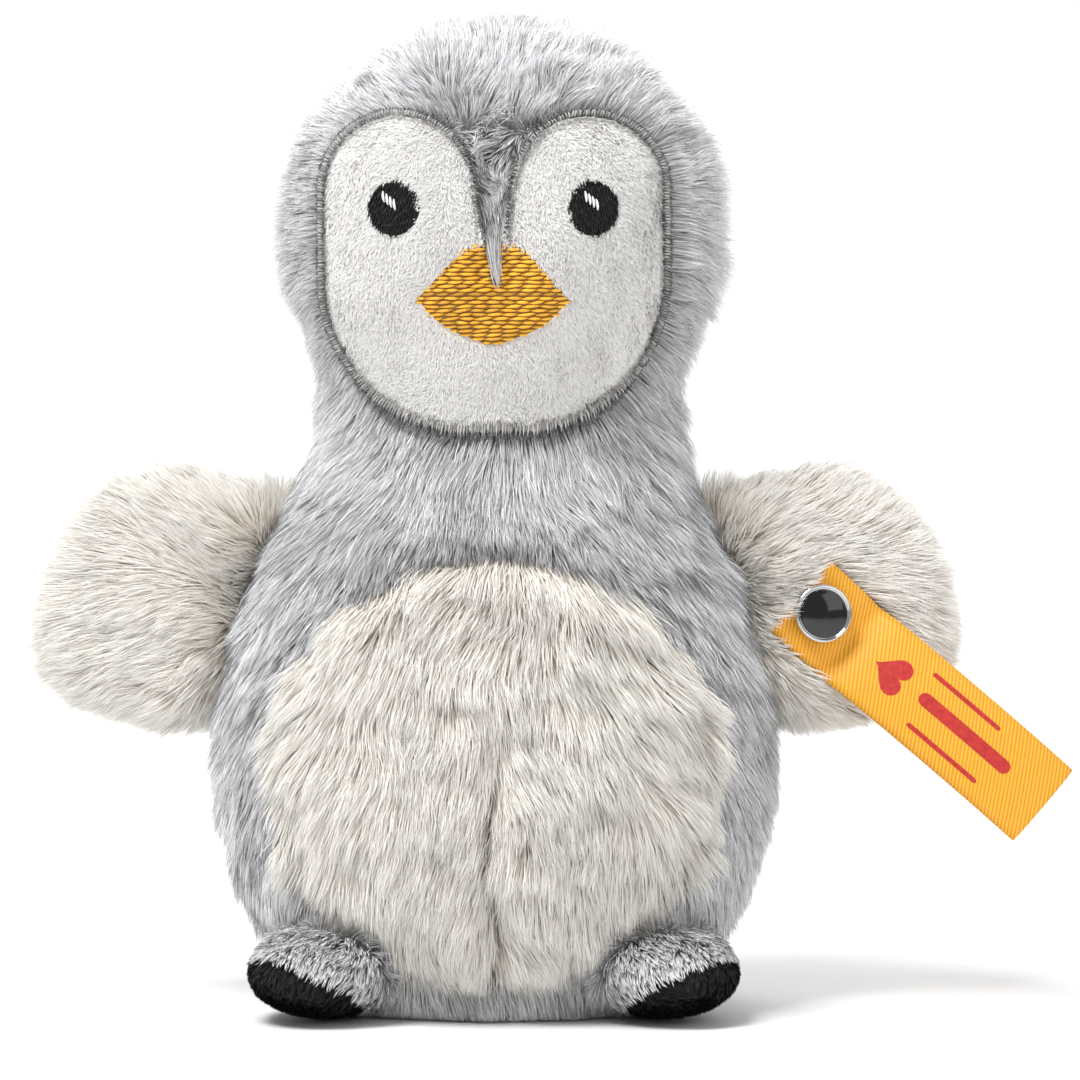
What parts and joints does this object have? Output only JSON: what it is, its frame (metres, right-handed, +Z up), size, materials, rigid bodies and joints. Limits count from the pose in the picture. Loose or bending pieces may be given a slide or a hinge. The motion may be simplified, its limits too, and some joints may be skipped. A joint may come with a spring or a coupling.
{
  "type": "plush penguin",
  "caption": "Small stuffed penguin chick that stands on a flat base, with soft hinged wings, a nodding head and a ribbon tag on one wing.",
  "frame": {"origin": "centre of the flat base, on the surface that the toy stands on", "axes": "+Z up; the face looks along -Y; +X is the toy's own left, the side of the tag"},
  "size_m": [0.1218, 0.0575, 0.1185],
  "materials": {
    "grey_plush": "long-pile silver-grey plush",
    "cream_plush": "long-pile cream plush",
    "face_plush": "short-pile white plush",
    "base_cloth": "short-pile grey cloth",
    "black_plush": "short-pile black plush",
    "filling": "polyester fibre filling",
    "grey_thread": "embroidery thread",
    "black_thread": "embroidery thread",
    "white_thread": "embroidery thread",
    "gold_thread": "embroidery thread, slight sheen",
    "button_metal": "polished",
    "rivet_metal": "plain",
    "tag_tape": "woven twill tape"
  },
  "bodies": {
    "torso": {"chest_skin": "grey_plush", "belly_left": "cream_plush", "belly_right": "cream_plush", "back_left": "grey_plush", "back_right": "grey_plush", "base_panel": "base_cloth", "torso_filling": "filling", "closing_stitches": "grey_thread", "foot_top_left": "grey_plush", "foot_top_right": "grey_plush", "foot_sole_left": "black_plush", "foot_sole_right": "black_plush", "foot_filling_left": "filling", "foot_filling_right": "filling", "neck_skin": "grey_plush", "neck_filling": "filling"},
    "head": {"face_patch": "face_plush", "face_edging": "grey_thread", "head_gusset": "grey_plush", "head_left": "grey_plush", "head_right": "grey_plush", "head_filling": "filling", "beak_upper": "gold_thread", "beak_lower": "gold_thread", "eye_left": "black_thread", "eye_right": "black_thread", "eye_glint_left": "white_thread", "eye_glint_right": "white_thread"},
    "wing_left": {"wing_front_left": "cream_plush", "wing_back_left": "cream_plush", "wing_filling_left": "filling", "button_cap": "button_metal", "button_rivet": "rivet_metal", "button_washer": "rivet_metal"},
    "wing_right": {"wing_front_right": "cream_plush", "wing_back_right": "cream_plush", "wing_filling_right": "filling"},
    "tag": {"tag_ribbon": "tag_tape"}
  },
  "joints": [
    {"name": "head_nod", "type": "hinge", "parent": "torso", "child": "head", "pos_m": [0, 0, 0.0645], "axis": [1, 0, 0], "range_deg": [-14, 14], "stiffness_Nm_per_rad": 0.03, "deforming": ["neck_skin", "neck_filling"]},
    {"name": "wing_left_swing", "type": "hinge", "parent": "torso", "child": "wing_left", "pos_m": [0.03161, 0, 0.05665], "axis": [-0.3584, 0, 0.9336], "range_deg": [-16, 30], "stiffness_Nm_per_rad": 0.002},
    {"name": "wing_right_swing", "type": "hinge", "parent": "torso", "child": "wing_right", "pos_m": [-0.03161, 0, 0.05665], "axis": [-0.3584, 0, -0.9336], "range_deg": [-60, 30], "stiffness_Nm_per_rad": 0.002},
    {"name": "tag_swivel", "type": "hinge", "parent": "wing_left", "child": "tag", "pos_m": [0.03851, -0.00544, 0.047], "axis": [0.2258, -0.9703, 0.0867], "range_deg": [-45, 60]}
  ]
}
